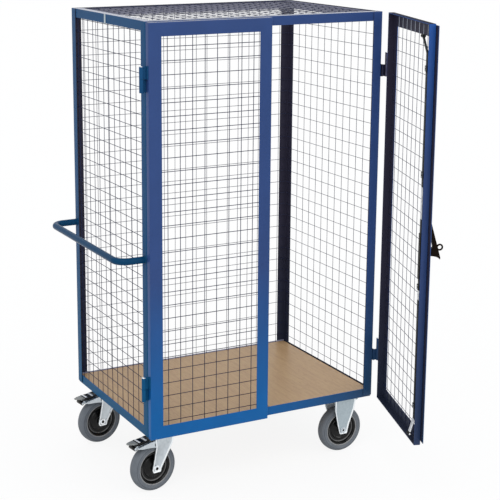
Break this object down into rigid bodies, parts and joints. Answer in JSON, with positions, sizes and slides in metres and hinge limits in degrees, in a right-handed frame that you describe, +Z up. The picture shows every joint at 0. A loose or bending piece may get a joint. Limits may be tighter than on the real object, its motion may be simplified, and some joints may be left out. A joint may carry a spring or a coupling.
{
  "type": "mesh cabinet trolley",
  "caption": "Tall cabinet trolley with wire mesh walls and roof, a wood deck, mesh doors with a rod lock, a side push handle, and castors fixed at one end and swivelling at the other.",
  "frame": {"origin": "middle of the deck's top face", "axes": "+Z up, the doors face -Y, +X towards the right door's hinges and the fixed castors"},
  "size_m": [1.1502, 1.2315, 1.8],
  "materials": {
    "frame_paint": "blue powder coat, satin",
    "beech": "beech faced board, satin",
    "zinc": "zinc plated",
    "tyre_grey": "grey rubber, matt",
    "rim_black": "black moulded",
    "lock_black": "black",
    "handle_brown": "black-brown, satin"
  },
  "bodies": {
    "chassis": {"base_rail_front": "frame_paint", "base_rail_rear": "frame_paint", "base_rail_left": "frame_paint", "base_rail_right": "frame_paint", "top_rail_front": "frame_paint", "top_rail_rear": "frame_paint", "top_rail_left": "frame_paint", "top_rail_right": "frame_paint", "castor_beam_left": "frame_paint", "castor_beam_right": "frame_paint", "deck_board": "beech", "push_handle": "frame_paint", "mesh_rear": "frame_paint", "mesh_left": "frame_paint", "mesh_right": "frame_paint", "mesh_roof": "frame_paint", "post_front_left": "frame_paint", "post_front_right": "frame_paint", "post_rear_left": "frame_paint", "post_rear_right": "frame_paint", "hinge_post_left_upper": "zinc", "hinge_post_left_lower": "zinc", "hinge_post_right_upper": "zinc", "hinge_post_right_lower": "zinc", "fixed_fork_front_right": "zinc", "fixed_fork_rear_right": "zinc", "axle_front_right": "zinc", "axle_rear_right": "zinc", "swivel_plate_front_left": "zinc", "swivel_plate_rear_left": "zinc"},
    "door_left": {"door_frame_left": "frame_paint", "door_mesh_left": "frame_paint", "hinge_door_left_upper": "zinc", "hinge_door_left_lower": "zinc"},
    "door_right": {"door_frame_right": "frame_paint", "door_mesh_right": "frame_paint", "overlap_strip": "frame_paint", "hinge_door_right_upper": "zinc", "hinge_door_right_lower": "zinc", "lock_case": "lock_black", "lock_escutcheon": "lock_black", "rod_guide_upper": "lock_black", "rod_guide_lower": "lock_black"},
    "lock_grip": {"lock_handle": "handle_brown"},
    "rod_upper": {"lock_rod_upper": "zinc"},
    "rod_lower": {"lock_rod_lower": "zinc"},
    "swivel_front_left": {"swivel_fork_front_left": "zinc", "axle_front_left": "zinc"},
    "wheel_front_left": {"tyre_front_left": "tyre_grey", "rim_front_left": "rim_black"},
    "wheel_front_right": {"tyre_front_right": "tyre_grey", "rim_front_right": "rim_black"},
    "brake_front_left": {"brake_pedal_front_left": "zinc"},
    "swivel_rear_left": {"swivel_fork_rear_left": "zinc", "axle_rear_left": "zinc"},
    "wheel_rear_left": {"tyre_rear_left": "tyre_grey", "rim_rear_left": "rim_black"},
    "wheel_rear_right": {"tyre_rear_right": "tyre_grey", "rim_rear_right": "rim_black"},
    "brake_rear_left": {"brake_pedal_rear_left": "zinc"}
  },
  "joints": [
    {"name": "door_left_hinge", "type": "hinge", "parent": "chassis", "child": "door_left", "pos_m": [-0.52, -0.358, 0], "axis": [0, 0, 1], "range_deg": [-160, 0]},
    {"name": "door_right_hinge", "type": "hinge", "parent": "chassis", "child": "door_right", "pos_m": [0.52, -0.358, 0], "axis": [0, 0, 1], "range_deg": [-71.6, 175]},
    {"name": "handle_turn", "type": "hinge", "parent": "door_right", "child": "lock_grip", "pos_m": [0.3836, -0.82824, 0.698], "axis": [-0.9489, 0.3156, 0], "range_deg": [0, 90]},
    {"name": "rod_upper_slide", "type": "slide", "parent": "door_right", "child": "rod_upper", "axis": [0, 0, 1], "range_m": [0, 0.018]},
    {"name": "rod_lower_slide", "type": "slide", "parent": "door_right", "child": "rod_lower", "axis": [0, 0, -1], "range_m": [0, 0.018]},
    {"name": "swivel_front_left_turn", "type": "hinge", "parent": "chassis", "child": "swivel_front_left", "pos_m": [-0.407, -0.265, -0.0496], "axis": [0, 0, 1], "continuous": true},
    {"name": "wheel_front_left_spin", "type": "hinge", "parent": "swivel_front_left", "child": "wheel_front_left", "pos_m": [-0.44661, -0.27057, -0.182], "axis": [-0.1392, 0.9903, 0], "continuous": true},
    {"name": "brake_front_left_press", "type": "hinge", "parent": "swivel_front_left", "child": "brake_front_left", "pos_m": [-0.43671, -0.26917, -0.0703], "axis": [0.1392, -0.9903, 0], "range_deg": [0, 10]},
    {"name": "wheel_front_right_spin", "type": "hinge", "parent": "chassis", "child": "wheel_front_right", "pos_m": [0.403, -0.265, -0.182], "axis": [0, 1, 0], "continuous": true},
    {"name": "swivel_rear_left_turn", "type": "hinge", "parent": "chassis", "child": "swivel_rear_left", "pos_m": [-0.407, 0.265, -0.0496], "axis": [0, 0, 1], "continuous": true},
    {"name": "wheel_rear_left_spin", "type": "hinge", "parent": "swivel_rear_left", "child": "wheel_rear_left", "pos_m": [-0.44661, 0.25943, -0.182], "axis": [-0.1392, 0.9903, 0], "continuous": true},
    {"name": "brake_rear_left_press", "type": "hinge", "parent": "swivel_rear_left", "child": "brake_rear_left", "pos_m": [-0.43671, 0.26082, -0.0703], "axis": [0.1392, -0.9903, 0], "range_deg": [0, 10]},
    {"name": "wheel_rear_right_spin", "type": "hinge", "parent": "chassis", "child": "wheel_rear_right", "pos_m": [0.403, 0.265, -0.182], "axis": [0, 1, 0], "continuous": true}
  ],
  "couplings": [
    {"joint": "rod_lower_slide", "follows": "rod_upper_slide", "ratio": 1},
    {"joint": "handle_turn", "follows": "rod_upper_slide", "rad_per_m": 87.266}
  ]
}
